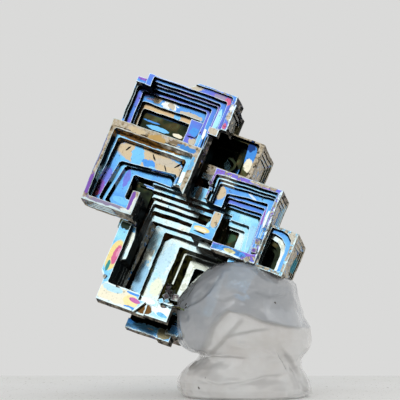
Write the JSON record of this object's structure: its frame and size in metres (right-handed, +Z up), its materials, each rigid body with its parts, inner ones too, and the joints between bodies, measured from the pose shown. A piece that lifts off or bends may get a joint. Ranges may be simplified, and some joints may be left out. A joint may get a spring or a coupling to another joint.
{
  "type": "bismuth crystal",
  "caption": "Bismuth hopper crystal cluster with stepped rectangular pits, held upright by a pressed lump of clear mineral tack.",
  "frame": {"origin": "centre of the object's bounding box, on the surface it stands on", "axes": "+Z up; the pits of the great faces open mainly towards -Y; +X to the right seen from -Y"},
  "size_m": [0.0232, 0.0198, 0.0322],
  "materials": {
    "oxide_film": "gloss",
    "clear_tack": "gloss"
  },
  "bodies": {
    "root": {"bismuth_crystal": "oxide_film", "putty_stand": "clear_tack"}
  },
  "joints": []
}
